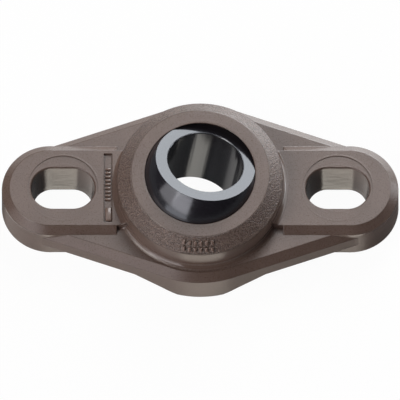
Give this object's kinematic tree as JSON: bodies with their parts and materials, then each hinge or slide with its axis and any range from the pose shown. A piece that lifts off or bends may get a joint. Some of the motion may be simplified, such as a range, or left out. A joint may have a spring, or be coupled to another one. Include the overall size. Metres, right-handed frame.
{
  "type": "two-bolt flange bearing",
  "caption": "Moulded flange bearing with a lozenge-shaped base, two slotted fixing holes and a self-aligning spherical ball with a plain shaft bore.",
  "frame": {"origin": "centre of the mounting face, below the centre of the ball", "axes": "+X along the flange through both fixing slots, +Z square to the mounting face and out of the boss"},
  "size_m": [0.052, 0.0256, 0.0139],
  "materials": {
    "housing_polymer": "satin",
    "ball_polymer": "satin"
  },
  "bodies": {
    "flange": {"housing": "housing_polymer"},
    "ball": {"spherical_ball": "ball_polymer"}
  },
  "joints": [
    {"name": "ball_tilt", "type": "hinge", "parent": "flange", "child": "ball", "pos_m": [0, 0, 0.0075], "axis": [-0.8746, 0.4848, 0], "range_deg": [-44, 6]}
  ]
}
